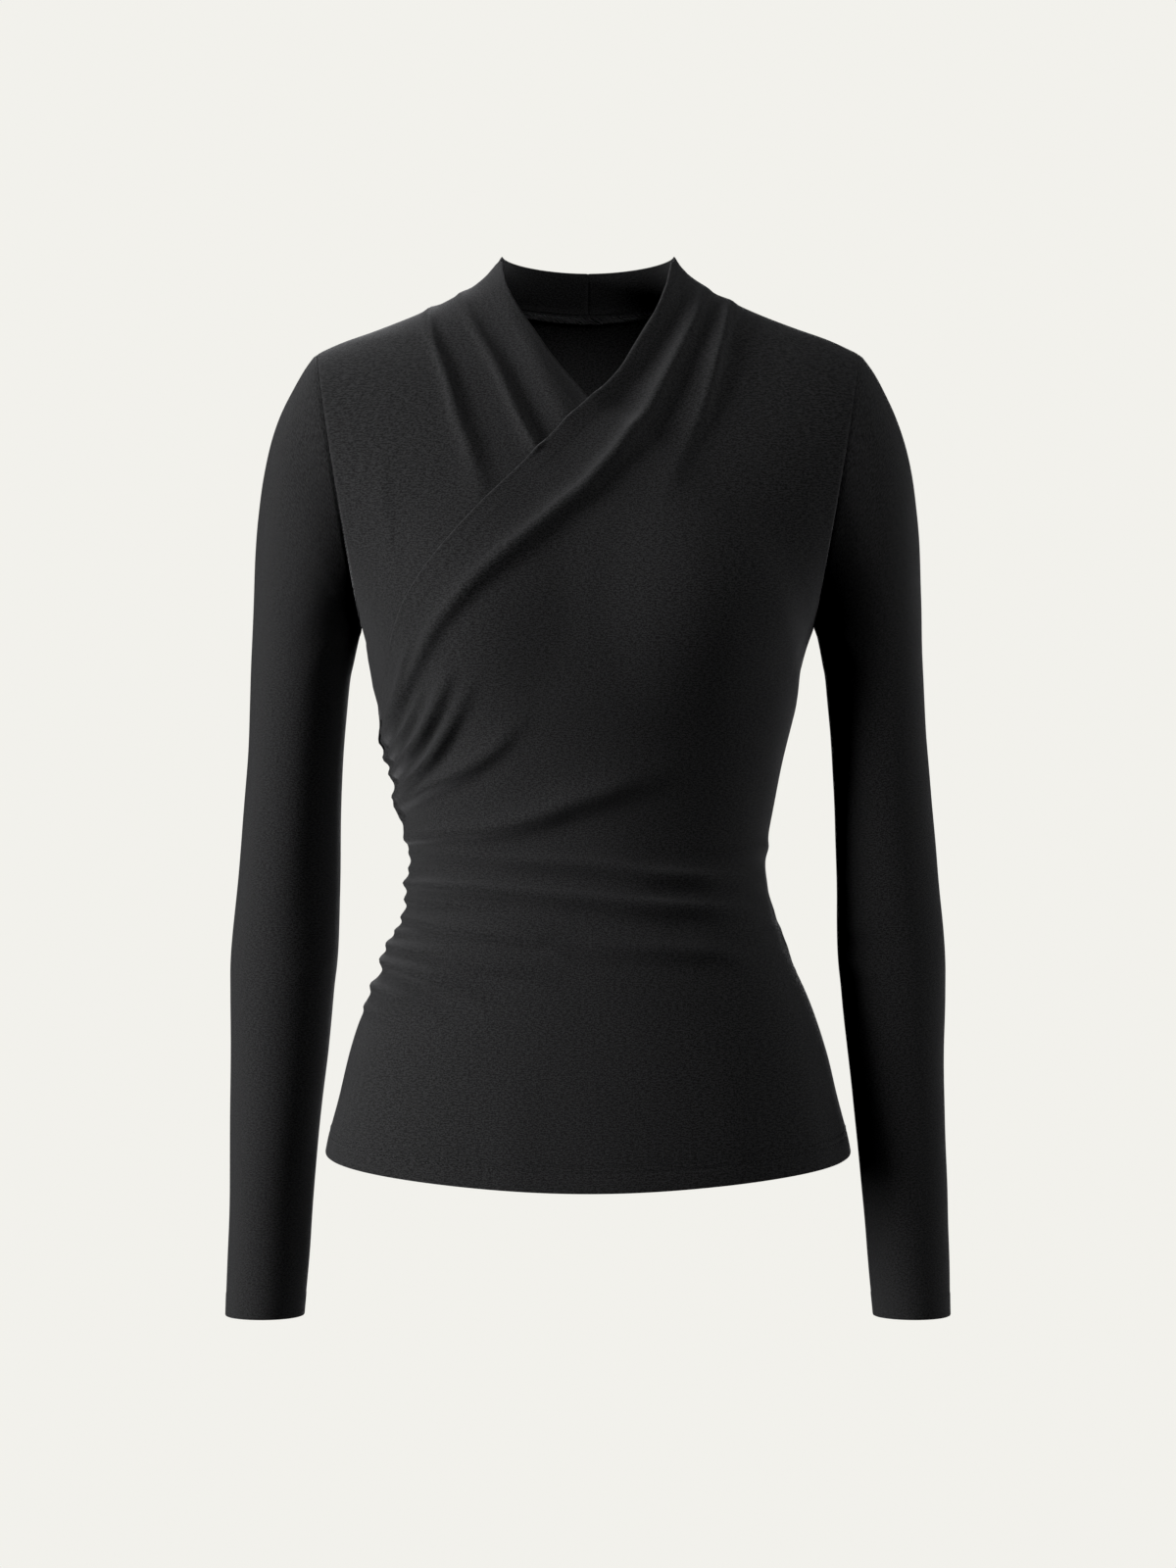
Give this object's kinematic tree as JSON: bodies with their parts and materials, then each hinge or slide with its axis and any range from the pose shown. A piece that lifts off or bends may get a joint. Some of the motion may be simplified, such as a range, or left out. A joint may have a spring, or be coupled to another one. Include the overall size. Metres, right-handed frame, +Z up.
{
  "type": "long-sleeved wrap top",
  "caption": "Fitted long-sleeved jersey wrap top, filled out as worn and hollow, with crossed fronts, a soft standing collar, shoulder pleats and ruching at one side seam.",
  "frame": {"origin": "between the neck ends of the two shoulder seams, at the base of the neck, where the wearer holds the top up", "axes": "+Z up, +X to the wearer's left, the front faces -Y"},
  "size_m": [0.4702, 0.2281, 0.6874],
  "materials": {
    "jersey": "matte fine jersey, near black and faintly heathered, with a soft sheen"
  },
  "bodies": {
    "root": {"back": "jersey", "front_over": "jersey", "front_under": "jersey", "sleeve_left": "jersey", "sleeve_right": "jersey"}
  },
  "joints": []
}
